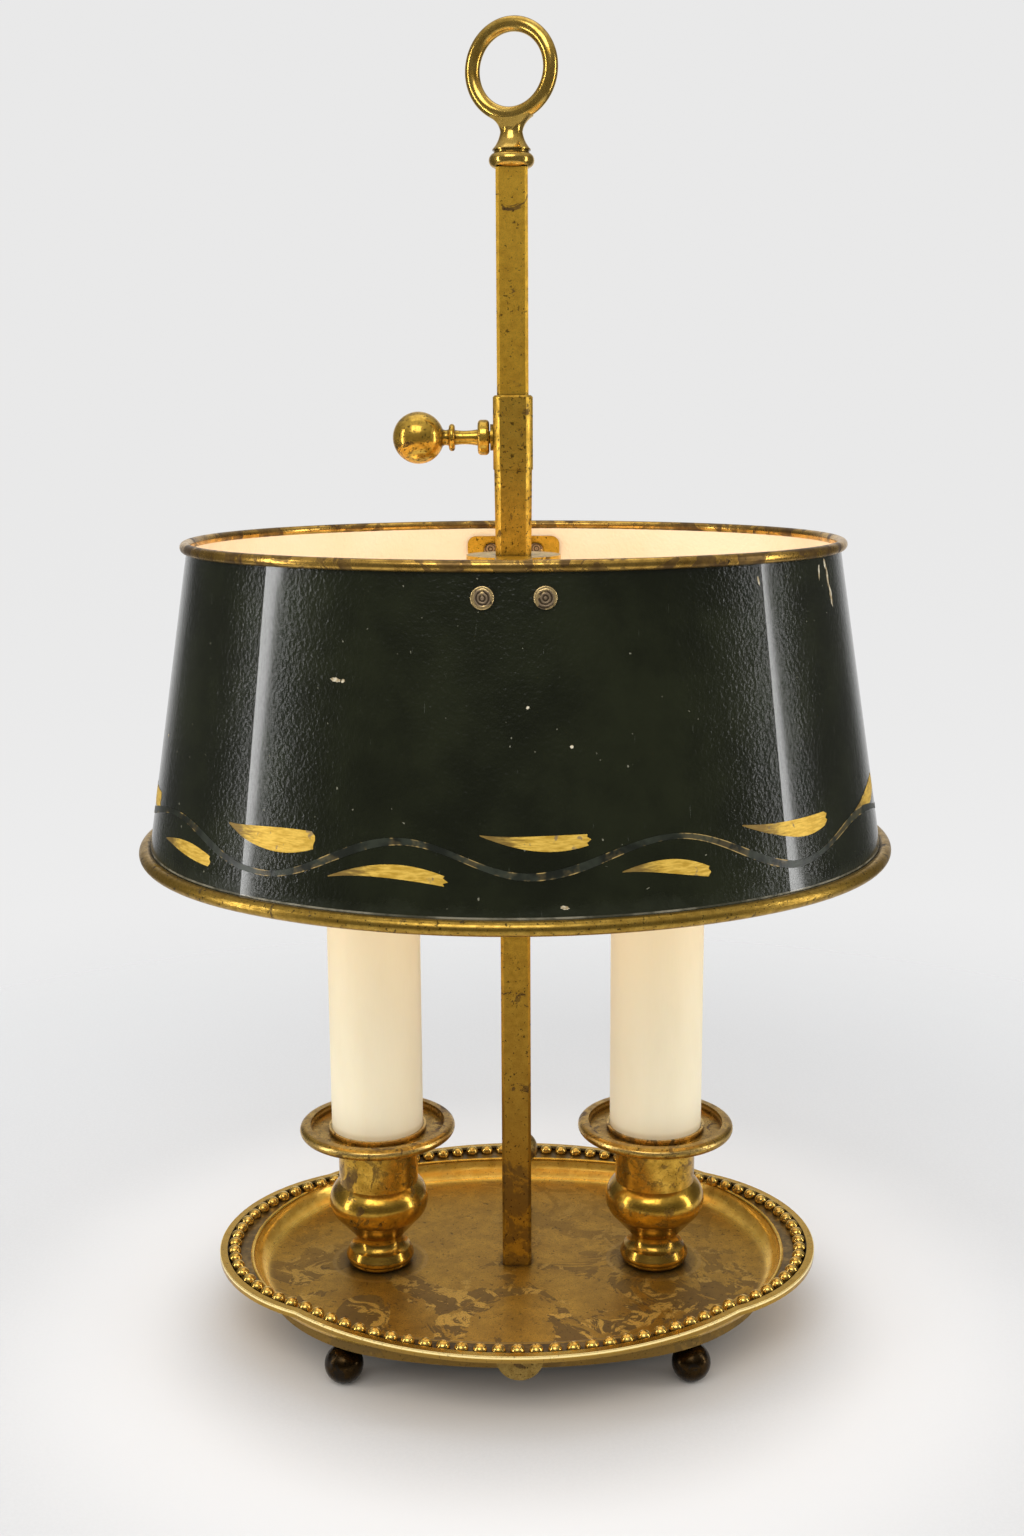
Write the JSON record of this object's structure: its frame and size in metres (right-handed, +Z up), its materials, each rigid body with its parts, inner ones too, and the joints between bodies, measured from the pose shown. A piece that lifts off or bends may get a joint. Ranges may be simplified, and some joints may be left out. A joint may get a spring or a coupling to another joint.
{
  "type": "bouillotte table lamp",
  "caption": "Bouillotte table lamp: lobed brass tray on ball feet, candle lights in turned cups, square stem with a ring finial, and an oval painted shade that slides and clamps.",
  "frame": {"origin": "on the table, under the middle of the square stem", "axes": "+Z up the stem, +X to the viewer's right as pictured, front of the lamp towards -Y"},
  "size_m": [0.252, 0.225, 0.4358],
  "materials": {
    "antique_brass": "old polished brass with brown patina",
    "gilt_brass": "rubbed bright on the high spots",
    "dark_bronze": "dark brown bronze, lightly rubbed",
    "black_enamel": "matt black enamel",
    "plated_steel": "plain plated",
    "black_plastic": "moulded",
    "candle_ivory": "smooth ivory",
    "bulb_glass": "clear, lit warm",
    "nickel_cap": "nickel plated",
    "lead_covering": "insulated lead",
    "black_tole": "green-black gloss outside, cream inside"
  },
  "bodies": {
    "lamp_base": {"tray": "antique_brass", "bead_border": "gilt_brass", "front_lug": "antique_brass", "ball_feet": "dark_bronze", "base_cover": "black_enamel", "cover_screws": "plated_steel", "cord_bushing": "black_plastic", "stem": "antique_brass", "stem_screw": "plated_steel", "stem_washer": "plated_steel", "finial": "antique_brass", "left_cup": "antique_brass", "right_cup": "antique_brass", "left_pan": "antique_brass", "right_pan": "antique_brass", "cup_nuts": "plated_steel", "left_nipple": "plated_steel", "right_nipple": "plated_steel", "left_socket": "black_plastic", "right_socket": "black_plastic", "left_candle_sleeve": "candle_ivory", "right_candle_sleeve": "candle_ivory", "left_bulb_glass": "bulb_glass", "right_bulb_glass": "bulb_glass", "left_bulb_cap": "nickel_cap", "right_bulb_cap": "nickel_cap", "left_lead": "lead_covering", "right_lead": "lead_covering", "switch_body": "black_plastic", "switch_nut": "dark_bronze"},
    "shade": {"shade_shell": "black_tole", "shade_top_bead": "gilt_brass", "shade_bottom_bead": "gilt_brass", "shade_bracket": "antique_brass", "bracket_rivets": "dark_bronze", "slide_sleeve": "antique_brass", "clamp_collar": "antique_brass"},
    "clamp_pad": {"pressure_pad": "plated_steel"},
    "clamp_screw": {"thumbscrew": "antique_brass"},
    "knob": {"switch_knob": "dark_bronze"}
  },
  "joints": [
    {"name": "shade_slide", "type": "slide", "parent": "lamp_base", "child": "shade", "axis": [0, 0, 1], "range_m": [-0.065, 0.068]},
    {"name": "screw_advance", "type": "slide", "parent": "shade", "child": "clamp_pad", "axis": [1, 0, 0], "range_m": [-0.0014, 0]},
    {"name": "thumbscrew_turn", "type": "hinge", "parent": "clamp_pad", "child": "clamp_screw", "pos_m": [0, 0, 0.3064], "axis": [1, 0, 0], "range_deg": [-720, 0]},
    {"name": "switch_turn", "type": "hinge", "parent": "lamp_base", "child": "knob", "pos_m": [0.0016, 0.04, 0.03], "axis": [0, 0, 1], "continuous": true}
  ],
  "couplings": [
    {"joint": "thumbscrew_turn", "follows": "screw_advance", "rad_per_m": 8975.9}
  ]
}
